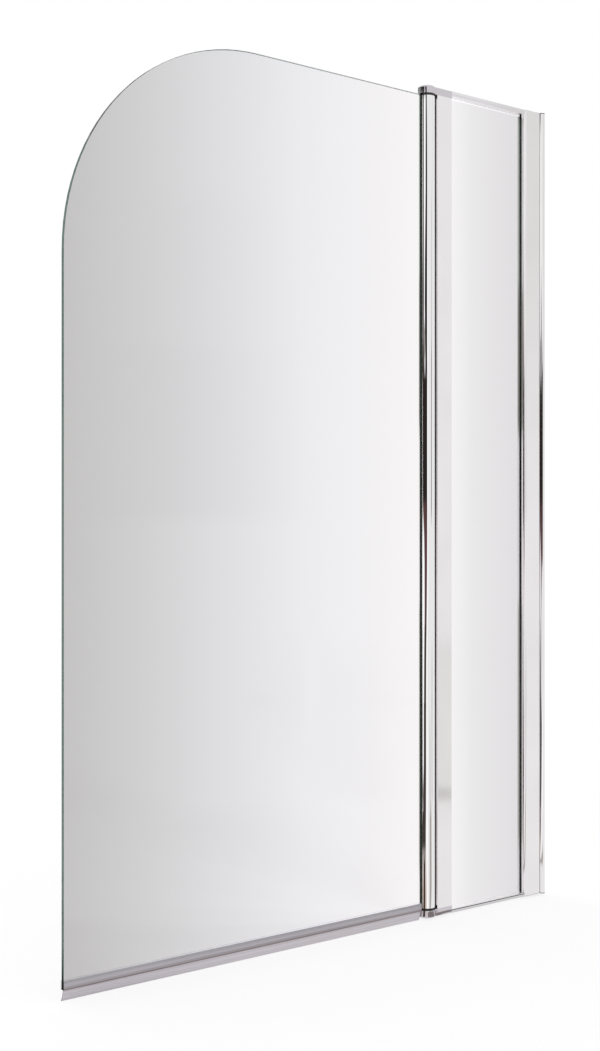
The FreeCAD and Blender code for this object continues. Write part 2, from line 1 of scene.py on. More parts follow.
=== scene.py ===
import math
import bpy
import bmesh
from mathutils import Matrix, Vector


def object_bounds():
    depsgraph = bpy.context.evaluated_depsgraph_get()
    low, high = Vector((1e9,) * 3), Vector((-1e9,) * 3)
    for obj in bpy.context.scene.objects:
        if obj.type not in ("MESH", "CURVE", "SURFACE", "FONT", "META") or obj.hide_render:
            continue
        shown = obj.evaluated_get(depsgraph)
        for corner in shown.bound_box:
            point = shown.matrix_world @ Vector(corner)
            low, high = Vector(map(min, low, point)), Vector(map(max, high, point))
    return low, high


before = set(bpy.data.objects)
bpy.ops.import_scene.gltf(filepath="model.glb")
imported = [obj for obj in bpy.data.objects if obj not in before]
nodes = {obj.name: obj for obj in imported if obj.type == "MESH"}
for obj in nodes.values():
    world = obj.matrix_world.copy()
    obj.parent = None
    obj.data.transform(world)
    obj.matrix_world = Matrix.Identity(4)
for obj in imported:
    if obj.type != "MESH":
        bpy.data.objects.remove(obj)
cadLow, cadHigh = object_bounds()
print("frame loaded:", len(nodes), "pieces")

mm = 0.001
evenly = (1, 1, 1)
noiseSpan = (0.3, 0.7)        # nearly all of a noise's values lie between these
squareFaces = (0.85, 0.95)    # a face is square to an axis where its normal lies this much along it


# Small helpers for the node trees

def newMaterial(name):
    material = bpy.data.materials.new(name)
    material.use_nodes = True
    tree = material.node_tree
    shader = tree.nodes["Principled BSDF"]
    return material, tree, shader


def addNode(tree, kind, **settings):
    node = tree.nodes.new(kind)
    for key, value in settings.items():
        setattr(node, key, value)
    return node


def stretchedPlace(tree, scale):
    place = addNode(tree, "ShaderNodeTexCoord")
    mapping = addNode(tree, "ShaderNodeMapping")
    mapping.inputs["Scale"].default_value = scale
    tree.links.new(place.outputs["Object"], mapping.inputs["Vector"])
    return mapping.outputs["Vector"]


def addNoise(tree, vector, scale, detail=3.0):
    noise = addNode(tree, "ShaderNodeTexNoise")
    noise.inputs["Scale"].default_value = scale
    noise.inputs["Detail"].default_value = detail
    tree.links.new(vector, noise.inputs["Vector"])
    return noise.outputs["Fac"]


def addRamp(tree, factor, stops):
    ramp = addNode(tree, "ShaderNodeValToRGB")
    elements = ramp.color_ramp.elements
    while len(elements) < len(stops):
        elements.new(0.5)
    for element, (position, colour) in zip(elements, stops):
        element.position = position
        element.color = (*colour, 1.0)
    tree.links.new(factor, ramp.inputs["Fac"])
    return ramp.outputs["Color"]


def addRange(tree, value, fromLow, fromHigh, toLow, toHigh):
    span = addNode(tree, "ShaderNodeMapRange")
    span.inputs["From Min"].default_value = fromLow
    span.inputs["From Max"].default_value = fromHigh
    span.inputs["To Min"].default_value = toLow
    span.inputs["To Max"].default_value = toHigh
    tree.links.new(value, span.inputs["Value"])
    return span.outputs["Result"]


# A ramp whose stops stand at real places along the piece
def addProfile(tree, value, profile):
    start = profile[0][0]
    end = profile[-1][0]
    along = addRange(tree, value, start, end, 0.0, 1.0)
    stops = [((place - start) / (end - start), colour) for place, colour in profile]
    return addRamp(tree, along, stops)


def addMath(tree, operation, first, second=None, clamp=False):
    maths = addNode(tree, "ShaderNodeMath", operation=operation, use_clamp=clamp)
    tree.links.new(first, maths.inputs[0])
    if second is not None:
        tree.links.new(second, maths.inputs[1])
    return maths.outputs["Value"]


def addMix(tree, factor, first, colour):
    mix = addNode(tree, "ShaderNodeMix", data_type="RGBA")
    tree.links.new(factor, mix.inputs["Factor"])
    tree.links.new(first, mix.inputs["A"])
    mix.inputs["B"].default_value = (*colour, 1.0)
    return mix.outputs["Result"]


def splitAxes(tree, vector):
    axes = addNode(tree, "ShaderNodeSeparateXYZ")
    tree.links.new(vector, axes.inputs["Vector"])
    return axes.outputs


def placeAndFacing(tree):
    place = addNode(tree, "ShaderNodeTexCoord")
    return splitAxes(tree, place.outputs["Object"]), splitAxes(tree, place.outputs["Normal"])


# One value on the faces square to an axis, and another on those that turn away from it
def byFacing(tree, facing, square, turned):
    return addRange(tree, addMath(tree, "ABSOLUTE", facing), *squareFaces, turned, square)


def addBump(tree, shader, height, strength, distance):
    bump = addNode(tree, "ShaderNodeBump")
    bump.inputs["Strength"].default_value = strength
    bump.inputs["Distance"].default_value = distance
    tree.links.new(height, bump.inputs["Height"])
    tree.links.new(bump.outputs["Normal"], shader.inputs["Normal"])


# The first shader shows where the factor is 0, and the second where it is 1
def mixShaders(tree, factor, first, second):
    mix = addNode(tree, "ShaderNodeMixShader")
    tree.links.new(factor, mix.inputs["Fac"])
    tree.links.new(first, mix.inputs[1])
    tree.links.new(second, mix.inputs[2])
    tree.links.new(mix.outputs["Shader"], tree.nodes["Material Output"].inputs["Surface"])


# Light passes a clear piece on its way to what lies behind
def letThrough(tree, shader, colour):
    rays = addNode(tree, "ShaderNodeLightPath").outputs
    clear = addNode(tree, "ShaderNodeBsdfTransparent")
    clear.inputs["Color"].default_value = (*colour, 1.0)
    mixShaders(tree, rays["Is Shadow Ray"], shader.outputs["BSDF"], clear.outputs["BSDF"])


def dress(material, *names):
    for name in names:
        slots = nodes[name].data.materials
        slots.clear()
        slots.append(material)


# Polished extrusions: the drawing lines run along the extrusion

aluminium = {
    "dark": (0.935, 0.905, 0.925),
    "light": (0.965, 0.94, 0.955),
    "patchScale": 9.0,
    "patchSpan": (0.35, 0.65),
    "smooth": 0.035,
    "rough": 0.10,
    "lineScale": 1400.0,
    "lineStretch": 0.004,
    "lineDetail": 2.0,
    "bump": 0.05,
    "bumpDepth": 0.02 * mm,
}
uprightLines = (1, 1, aluminium["lineStretch"])
levelLines = (aluminium["lineStretch"], 1, 1)


def makeAluminium(name, scale):
    material, tree, shader = newMaterial(name)
    lines = addNoise(tree, stretchedPlace(tree, scale), aluminium["lineScale"], aluminium["lineDetail"])
    patches = addNoise(tree, stretchedPlace(tree, evenly), aluminium["patchScale"])
    low, high = aluminium["patchSpan"]
    colour = addRamp(tree, patches, [(low, aluminium["dark"]), (high, aluminium["light"])])
    tree.links.new(colour, shader.inputs["Base Color"])
    shader.inputs["Metallic"].default_value = 1.0
    roughness = addRange(tree, lines, *noiseSpan, aluminium["smooth"], aluminium["rough"])
    tree.links.new(roughness, shader.inputs["Roughness"])
    addBump(tree, shader, lines, aluminium["bump"], aluminium["bumpDepth"])
    return material, tree, shader


dress(makeAluminium("uprightAluminium", uprightLines)[0], "wall_channel", "wall_stile", "hinge_stile")


# Painted reflection and shade on the rails: their faces carry bands of colour by height, darker than their
# flat sides, which are painted lighter, and the bottom rail's face is darker below with a dark line

topRail = {
    "node": "top_rail",
    "paneLight": 0.42,
    "heights": [
        (708.5 * mm, (0.86, 0.83, 0.86)),
        (711.6 * mm, (0.86, 0.83, 0.86)),
        (712.0 * mm, (0.83, 0.80, 0.83)),
        (712.6 * mm, (0.83, 0.80, 0.83)),
        (713.0 * mm, (0.88, 0.86, 0.885)),
        (717.5 * mm, (0.90, 0.88, 0.905)),
    ],
}
bottomRail = {
    "node": "bottom_rail",
    "paneLight": 0.20,
    "heights": [
        (-717.5 * mm, (0.68, 0.665, 0.68)),
        (-713.2 * mm, (0.74, 0.725, 0.74)),
        (-712.9 * mm, (0.13, 0.125, 0.13)),
        (-711.7 * mm, (0.13, 0.125, 0.13)),
        (-711.4 * mm, (0.90, 0.88, 0.90)),
        (-710.5 * mm, (0.90, 0.88, 0.90)),
    ],
}
# Painted light on the rails: the lighter flat sides and the glow inside the back wall
railPaintedLight = {
    "paintedFlatLight": (0.97, 0.955, 0.965),
    "lightEnds": (712 * mm, 714 * mm),    # up or down from the screen's middle
    "backStarts": (-1 * mm, 1 * mm),
}


def makeRail(name, rail):
    material, tree, shader = makeAluminium(name, levelLines)
    axes, facing = placeAndFacing(tree)
    # Painted reflection: the faces take bands of colour by height, and the flat sides a lighter painted
    # colour
    face = addProfile(tree, axes["Z"], rail["heights"])
    onFlat = byFacing(tree, facing["Z"], 1.0, 0.0)
    tree.links.new(addMix(tree, onFlat, face, railPaintedLight["paintedFlatLight"]), shader.inputs["Base Color"])
    # Painted light: the inner side of the back wall glows, standing in for the light the pane throws on it
    fromMiddle = addMath(tree, "ABSOLUTE", axes["Z"])
    inner = addRange(tree, fromMiddle, *railPaintedLight["lightEnds"], rail["paneLight"], 0.0)
    atBack = addRange(tree, axes["Y"], *railPaintedLight["backStarts"], 0.0, 1.0)
    innerBack = addMath(tree, "MULTIPLY", inner, atBack)
    shader.inputs["Emission Color"].default_value = (1.0, 1.0, 1.0, 1.0)
    tree.links.new(addMath(tree, "MULTIPLY", innerBack, onFlat), shader.inputs["Emission Strength"])
    return material


for rail in (topRail, bottomRail):
    dress(makeRail(rail["node"] + "Aluminium", rail), rail["node"])


# Bright plate on the post, and duller plate on the cast hinge caps

postPlate = {
    "colour": (0.955, 0.945, 0.95),
    "smooth": 0.012,
    "rough": 0.04,
    "wipeScale": 60.0,
    "peelScale": 700.0,
    "bump": 0.02,
}
capPlate = {
    "colour": (0.68, 0.645, 0.685),
    "smooth": 0.02,
    "rough": 0.06,
    "wipeScale": 90.0,
    "peelScale": 900.0,
    "bump": 0.05,
}
plating = {"wipeSpan": (0.35, 0.7), "peelDetail": 1.0, "peelDepth": 0.01 * mm}


def makePlate(name, plate):
    material, tree, shader = newMaterial(name)
    place = stretchedPlace(tree, evenly)
    wipe = addNoise(tree, place, plate["wipeScale"])
    peel = addNoise(tree, place, plate["peelScale"], plating["peelDetail"])
    shader.inputs["Base Color"].default_value = (*plate["colour"], 1.0)
    shader.inputs["Metallic"].default_value = 1.0
    roughness = addRange(tree, wipe, *plating["wipeSpan"], plate["smooth"], plate["rough"])
    tree.links.new(roughness, shader.inputs["Roughness"])
    addBump(tree, shader, peel, plate["bump"], plating["peelDepth"])
    return material


dress(makePlate("postPlate", postPlate), "hinge_tube")
dress(makePlate("capPlate", capPlate), "hinge_cap_top", "hinge_cap_bottom")


# Toughened glass: a grey tint with a painted shade that deepens away from the post, and dark green polished
# edges

glass = {
    "edge": (0.030, 0.060, 0.048),
    "index": 1.3,
    "shadowTint": (0.90, 0.92, 0.91),
}
doorPane = {
    "node": "door_glass",
    "tintAndPaintedShade": [
        (-1001 * mm, (0.55, 0.54, 0.54)),
        (-560 * mm, (0.84, 0.835, 0.86)),
        (-292 * mm, (0.94, 0.92, 0.92)),
    ],
}
fixedPane = {
    "node": "fixed_glass",
    "tintAndPaintedShade": [
        (-246 * mm, (0.95, 0.935, 0.94)),
        (-170 * mm, (0.82, 0.81, 0.82)),
        (-37 * mm, (0.74, 0.72, 0.735)),
    ],
}


def makeGlass(name, pane):
    material, tree, shader = newMaterial(name)
    axes, facing = placeAndFacing(tree)
    # Painted shade: the tint darkens away from the post
    tintWithPaintedShade = addProfile(tree, axes["X"], pane["tintAndPaintedShade"])
    onEdge = byFacing(tree, facing["Y"], 0.0, 1.0)
    tree.links.new(addMix(tree, onEdge, tintWithPaintedShade, glass["edge"]), shader.inputs["Base Color"])
    shader.inputs["Roughness"].default_value = 0.0
    shader.inputs["IOR"].default_value = glass["index"]
    shader.inputs["Transmission Weight"].default_value = 1.0
    letThrough(tree, shader, glass["shadowTint"])
    return material


for pane in (doorPane, fixedPane):
    dress(makeGlass(pane["node"] + "Glass", pane), pane["node"])
print("metal and glass ready")


# Rubber, nylon and plastic

rubber = {"colour": (0.012, 0.012, 0.012), "light": (0.022, 0.022, 0.021), "rough": 0.5, "grain": 900.0}
greenRubber = {"colour": (0.023, 0.040, 0.031), "light": (0.042, 0.068, 0.054), "rough": 0.42, "grain": 900.0}
wedgeRubber = {"colour": (0.052, 0.068, 0.058), "light": (0.076, 0.096, 0.084), "rough": 0.42, "grain": 900.0}
clearRubber = {"colour": (0.84, 0.835, 0.84), "light": (0.90, 0.895, 0.90), "rough": 0.5, "grain": 700.0,
               "glow": 0.18, "paneGlow": 0.60}
nylon = {"colour": (0.010, 0.010, 0.011), "light": (0.018, 0.018, 0.019), "rough": 0.38, "grain": 500.0}
plastic = {"colour": (0.55, 0.55, 0.56), "light": (0.60, 0.60, 0.61), "rough": 0.22, "grain": 250.0}
mouldedGrain = {"roughSpread": 0.06, "bump": 0.1, "bumpDepth": 0.03 * mm}


# A grain that changes colour, roughness and height together, on mouldings and steel
def addGrain(tree, shader, scale, look, grain):
    noise = addNoise(tree, stretchedPlace(tree, scale), look["grain"])
    low, high = noiseSpan
    colour = addRamp(tree, noise, [(low, look["colour"]), (high, look["light"])])
    tree.links.new(colour, shader.inputs["Base Color"])
    smooth = look["rough"] - grain["roughSpread"]
    rough = look["rough"] + grain["roughSpread"]
    tree.links.new(addRange(tree, noise, low, high, smooth, rough), shader.inputs["Roughness"])
    addBump(tree, shader, noise, grain["bump"], grain["bumpDepth"])


def makeMoulded(name, look):
    material, tree, shader = newMaterial(name)
    addGrain(tree, shader, evenly, look, mouldedGrain)
    if "glow" in look:
        # Painted light: the clear rubber glows, standing in for the pane's light passing through it, most of
        # all where it touches the pane
        facing = placeAndFacing(tree)[1]
        glow = byFacing(tree, facing["Y"], look["paneGlow"], look["glow"])
        shader.inputs["Emission Color"].default_value = (*look["light"], 1.0)
        tree.links.new(glow, shader.inputs["Emission Strength"])
    return material


dress(makeMoulded("blackRubber", rubber), "gasket_hinge_side", "hinge_seal")
dress(makeMoulded("greenRubber", greenRubber), "door_gasket")
dress(makeMoulded("wedgeRubber", wedgeRubber), "gasket_wall_side")
dress(makeMoulded("clearRubber", clearRubber), "gasket_top", "gasket_bottom")
dress(makeMoulded("blackNylon", nylon), "bush_top", "bush_bottom", "tube_plug_top", "tube_plug_bottom",
      "channel_cap_top", "channel_cap_bottom")
dress(makeMoulded("greyPlastic", plastic), "wall_stile_cap_top", "wall_stile_cap_bottom", "screw_covers")


# Stainless steel of pins and screws

steel = {"colour": (0.55, 0.55, 0.56), "light": (0.66, 0.66, 0.66), "rough": 0.28, "grain": 1200.0}
steelGrain = {"stretch": (1, 1, 0.1), "roughSpread": 0.08, "bump": 0.1, "bumpDepth": 0.02 * mm}


def makeSteel(name):
    material, tree, shader = newMaterial(name)
    addGrain(tree, shader, steelGrain["stretch"], steel, steelGrain)
    shader.inputs["Metallic"].default_value = 1.0
    return material


dress(makeSteel("stainlessSteel"), "pivot_pins", "cap_screws", "rail_screws", "adjust_screws")


# Translucent drip seal with the fine lines of its extrusion. Its colour by height holds painted shade: the
# clip is painted grey over the pane, the pane's bottom edge is painted in as a dark line seen through it, and
# the fin is paler

vinyl = {
    "heights": [
        (-724 * mm, (0.70, 0.665, 0.71)),
        (-709 * mm, (0.69, 0.655, 0.70)),
        (-705.4 * mm, (0.70, 0.66, 0.70)),
        (-704.6 * mm, (0.27, 0.215, 0.225)),
        (-703.4 * mm, (0.28, 0.22, 0.23)),
        (-702.6 * mm, (0.37, 0.35, 0.37)),
        (-700.6 * mm, (0.40, 0.38, 0.40)),
        (-699.4 * mm, (0.51, 0.48, 0.52)),
        (-696.4 * mm, (0.51, 0.48, 0.52)),
        (-695.2 * mm, (0.42, 0.405, 0.435)),
        (-691 * mm, (0.42, 0.41, 0.435)),
    ],
    "inside": (0.95, 0.93, 0.97),
    "insideGlow": 0.66,
    "endShade": (0.035, 0.040, 0.040),
    "backWallStarts": (2.6 * mm, 3.0 * mm),
    "clipStarts": (-703.2 * mm, -702.8 * mm),
    "towardsPane": (-0.9, -0.5),
    "lineShade": 0.80,
    "rough": 0.3,
    "index": 1.5,
    "clearness": 0.12,
    "shadowTint": (0.60, 0.59, 0.62),
    "lineScale": 700.0,
    "lineStretch": (0.003, 1, 1),
    "lineDetail": 2.0,
    "bump": 0.2,
    "bumpDepth": 0.05 * mm,
}


def makeVinyl(name):
    material, tree, shader = newMaterial(name)
    along = stretchedPlace(tree, vinyl["lineStretch"])
    lines = addNoise(tree, along, vinyl["lineScale"], vinyl["lineDetail"])
    axes, facing = placeAndFacing(tree)
    # Painted light and shade: the colour by height carries the dark line of the pane's edge and the paler fin
    colour = addProfile(tree, axes["Z"], vinyl["heights"])
    shaded = addNode(tree, "ShaderNodeVectorMath", operation="SCALE")
    tree.links.new(colour, shaded.inputs[0])
    tree.links.new(addRange(tree, lines, *noiseSpan, vinyl["lineShade"], 1.0), shaded.inputs["Scale"])
    # Painted light: the back wall's inner face is seen through the pane and takes little light, so it is
    # painted pale and made to glow
    behind = addRange(tree, axes["Y"], *vinyl["backWallStarts"], 0.0, 1.0)
    above = addRange(tree, axes["Z"], *vinyl["clipStarts"], 0.0, 1.0)
    towardsPane = addRange(tree, facing["Y"], *vinyl["towardsPane"], 1.0, 0.0)
    innerFace = addMath(tree, "MULTIPLY", addMath(tree, "MULTIPLY", behind, above), towardsPane)
    withPaintedLight = addMix(tree, innerFace, shaded.outputs["Vector"], vinyl["inside"])
    glow = addRange(tree, innerFace, 0.0, 1.0, 0.0, vinyl["insideGlow"])
    shader.inputs["Emission Color"].default_value = (*vinyl["inside"], 1.0)
    tree.links.new(glow, shader.inputs["Emission Strength"])
    # Painted shade: the cut ends are painted near black, for the dark of the glass and the clip's core seen
    # through them
    onEnd = byFacing(tree, facing["X"], 1.0, 0.0)
    tree.links.new(addMix(tree, onEnd, withPaintedLight, vinyl["endShade"]), shader.inputs["Base Color"])
    shader.inputs["Roughness"].default_value = vinyl["rough"]
    shader.inputs["IOR"].default_value = vinyl["index"]
    shader.inputs["Transmission Weight"].default_value = vinyl["clearness"]
    addBump(tree, shader, lines, vinyl["bump"], vinyl["bumpDepth"])
    letThrough(tree, shader, vinyl["shadowTint"])
    return material


dress(makeVinyl("clearVinyl"), "drip_seal")
print("all pieces dressed")


# Studio: pale floor, white surroundings, soft lamps

studio = {
    "floorHeight": cadLow.z - 0.3 * mm,
    "floorCentre": (-0.5, 0.0),
    "floorSize": 14.0,
    "floorParts": 8,
    "floorColour": (0.95, 0.95, 0.95),
    "floorRough": 0.9,
    "ambient": 0.90,
    "mirrored": 0.84,
    "whiteNear": 0.78,
    "fadeStart": 0.60,
    "fadeEnd": 1.6,
}


# 1 for what is seen in a mirror, and 0 for what is seen through glass
def mirroredOnly(tree, rays):
    return addMath(tree, "SUBTRACT", rays["Is Glossy Ray"], rays["Is Transmission Ray"], clamp=True)


def makeFloorMaterial():
    material, tree, shader = newMaterial("paleFloor")
    shader.inputs["Base Color"].default_value = (*studio["floorColour"], 1.0)
    shader.inputs["Roughness"].default_value = studio["floorRough"]
    shader.inputs["Specular IOR Level"].default_value = 0.0
    # Far from the screen the floor turns into the white of the surroundings
    place = addNode(tree, "ShaderNodeTexCoord")
    away = addNode(tree, "ShaderNodeVectorMath", operation="LENGTH")
    tree.links.new(place.outputs["Object"], away.inputs[0])
    distance = away.outputs["Value"]
    fade = addRange(tree, distance, studio["fadeStart"], studio["fadeEnd"], studio["whiteNear"], 1.0)
    rays = addNode(tree, "ShaderNodeLightPath").outputs
    straight = addMath(tree, "MULTIPLY", fade, rays["Is Camera Ray"])
    bounced = addMath(tree, "ADD", straight, rays["Is Glossy Ray"])
    share = addMath(tree, "ADD", bounced, rays["Is Transmission Ray"], clamp=True)
    whiteLight = addNode(tree, "ShaderNodeEmission")
    strength = addRange(tree, mirroredOnly(tree, rays), 0.0, 1.0, 1.0, studio["mirrored"])
    tree.links.new(strength, whiteLight.inputs["Strength"])
    mixShaders(tree, share, shader.outputs["BSDF"], whiteLight.outputs["Emission"])
    return material


def makeFloor():
    mesh = bpy.data.meshes.new("studioFloor")
    builder = bmesh.new()
    parts = studio["floorParts"]
    bmesh.ops.create_grid(builder, x_segments=parts, y_segments=parts, size=studio["floorSize"])
    builder.to_mesh(mesh)
    builder.free()
    mesh.materials.append(makeFloorMaterial())
    floor = bpy.data.objects.new("studioFloor", mesh)
    floor.location = (*studio["floorCentre"], studio["floorHeight"])
    bpy.context.scene.collection.objects.link(floor)


def makeSurroundings():
    world = bpy.data.worlds.new("whiteSurroundings")
    world.use_nodes = True
    tree = world.node_tree
    background = tree.nodes["Background"]
    background.inputs["Color"].default_value = (1.0, 1.0, 1.0, 1.0)
    rays = addNode(tree, "ShaderNodeLightPath").outputs
    seen = addMath(tree, "ADD", rays["Is Camera Ray"], rays["Is Transmission Ray"], clamp=True)
    lighting = addRange(tree, seen, 0.0, 1.0, studio["ambient"], 1.0)
    strength = addNode(tree, "ShaderNodeMix", data_type="FLOAT")
    tree.links.new(mirroredOnly(tree, rays), strength.inputs["Factor"])
    tree.links.new(lighting, strength.inputs["A"])
    strength.inputs["B"].default_value = studio["mirrored"]
    tree.links.new(strength.outputs["Result"], background.inputs["Strength"])
    bpy.context.scene.world = world


softLamps = [
    {"name": "keyLamp", "place": (-3.2, -3.0, 2.6), "aim": (-0.5, 0, 0), "size": 2.0, "power": 42.0},
    {"name": "fillLamp", "place": (2.2, -2.6, 1.8), "aim": (-0.4, 0, 0), "size": 2.2, "power": 20.0},
    {"name": "backLamp", "place": (-0.6, 3.6, 2.4), "aim": (-0.5, 0, 0), "size": 2.4, "power": 24.0},
]


def makeLamp(lamp):
    light = bpy.data.lights.new(lamp["name"], "AREA")
    light.shape = "SQUARE"
    light.size = lamp["size"]
    light.energy = lamp["power"]
    placed = bpy.data.objects.new(lamp["name"], light)
    placed.location = lamp["place"]
    direction = Vector(lamp["aim"]) - Vector(lamp["place"])
    placed.rotation_euler = direction.to_track_quat("-Z", "Y").to_euler()
    placed.visible_glossy = False
    placed.visible_transmission = False
    bpy.context.scene.collection.objects.link(placed)


# What the bright metal mirrors: soft-edged cards round the screen, seen in reflections alone, and
# placed to give the reflections that the photograph shows. Directions are degrees from the X axis,
# seen from the post or from the card's own centre. A standing card gives (height, from, to) at
# each of its levels, and a lying card (distance, from, to).

ring = {"radius": 3.0, "whiteRadius": 3.2, "columns": 12}
postCentre = (-284.5 * mm, 0.0)
besideBead = (-10 * mm, -10 * mm)
white = (1.0, 1.0, 1.0)
likeSurroundings = (studio["mirrored"],) * 3
paleGreen = (0.775, 0.785, 0.76)
dark = (0.022, 0.018, 0.016)
brown = (0.055, 0.044, 0.040)
red = (0.105, 0.052, 0.055)
beige = (0.66, 0.55, 0.48)
standingCards = [
    {"name": "whiteCard", "colour": white, "side": 0.06, "ends": (0.02, 0.02),
     "radius": ring["whiteRadius"], "levels": [(2.4, 150, 254), (-0.85, 150, 254)]},
    {"name": "capSide", "colour": (0.20, 0.195, 0.19), "side": 0.05, "ends": (0.03, 0.04),
     "levels": [(2.4, 40, 150), (1.545, 40, 150)]},
    {"name": "capLeft", "colour": dark, "side": 0.06, "ends": (0.03, 0.04),
     "levels": [(2.4, 130, 202), (1.54, 130, 202)]},
    {"name": "capRight", "colour": dark, "side": 0.08, "ends": (0.03, 0.04),
     "levels": [(2.4, 206, 256), (1.54, 206, 256)]},
    {"name": "leftLine", "colour": brown, "side": 0.10, "ends": (0.03, 0.06),
     "levels": [(1.60, 174, 190), (1.2, 174, 190), (0.95, 168, 191), (0.80, 164, 192), (0.66, 164, 191),
                (0.46, 164, 200)]},
    {"name": "rightLine", "colour": dark, "side": 0.10, "ends": (0.03, 0.06),
     "levels": [(1.60, 213, 236), (1.2, 212, 236), (0.95, 203, 236), (0.78, 200, 236), (0.66, 207, 236),
                (0.46, 213, 237)]},
    {"name": "greyLine", "colour": (0.22, 0.21, 0.20), "side": 0.20, "ends": (0.3, 0.3),
     "levels": [(0.74, 190, 214), (0.54, 192, 208)]},
    {"name": "darkCore", "colour": dark, "side": 0.06, "ends": (0.12, 0.14),
     "levels": [(0.58, 168, 237), (0.46, 176, 237), (0.05, 178, 237), (-0.08, 188, 237)]},
    {"name": "redFoot", "colour": red, "side": 0.14, "ends": (0.06, 0.06),
     "levels": [(0.06, 176, 239), (-0.08, 190, 239), (-0.18, 196, 237), (-0.34, 198, 232),
                (-0.47, 196, 227)]},
    {"name": "brownFoot", "colour": brown, "side": 0.12, "ends": (0.05, 0.05),
     "levels": [(-0.40, 196, 228), (-0.55, 192, 224), (-0.85, 188, 221)]},
    {"name": "leftFoot", "colour": (0.13, 0.125, 0.12), "side": 0.14, "ends": (0.10, 0.05),
     "levels": [(-0.40, 160, 180), (-0.85, 156, 178)]},
    {"name": "thinLine", "colour": (0.50, 0.51, 0.51), "side": 0.45, "ends": (0.2, 0.12),
     "levels": [(1.25, 292, 304), (0.55, 289, 306)]},
    {"name": "thinLineFoot", "colour": (0.17, 0.15, 0.15), "side": 0.40, "ends": (0.10, 0.10),
     "levels": [(0.66, 289, 305), (0.30, 289, 306), (-0.05, 288, 307)]},
    {"name": "paleLineLeft", "colour": (0.56, 0.55, 0.55), "side": 0.4, "ends": (0.4, 0.05),
     "levels": [(-0.42, 270, 281), (-0.85, 268, 282)]},
    {"name": "paleLineRight", "colour": (0.40, 0.40, 0.41), "side": 0.4, "ends": (0.4, 0.05),
     "levels": [(-0.42, 301, 313), (-0.85, 300, 313)]},
    {"name": "stileShade", "colour": paleGreen, "side": 0.2, "ends": (0.15, 0.05),
     "levels": [(-0.44, 312, 317.5), (-0.85, 312, 317.5)]},
    {"name": "plateShade", "colour": (0.74, 0.745, 0.725), "side": 0.15, "ends": (0.02, 0.40),
     "levels": [(2.3, 317.5, 326), (0.1, 317.5, 326)]},
    {"name": "greenAbove", "colour": (0.50, 0.57, 0.515), "side": 0.05, "ends": (0.02, 0.05),
     "levels": [(2.3, 40, 142), (0.80, 40, 142)]},
    {"name": "greyMiddle", "colour": (0.30, 0.30, 0.27), "side": 0.04, "ends": (0.12, 0.12),
     "levels": [(0.92, 40, 160), (0.78, 40, 169), (0.46, 40, 169), (0.28, 40, 150)]},
    {"name": "greyBelow", "colour": (0.56, 0.56, 0.52), "side": 0.05, "ends": (0.10, 0.05),
     "levels": [(-0.32, 40, 142), (-0.85, 40, 142)]},
]
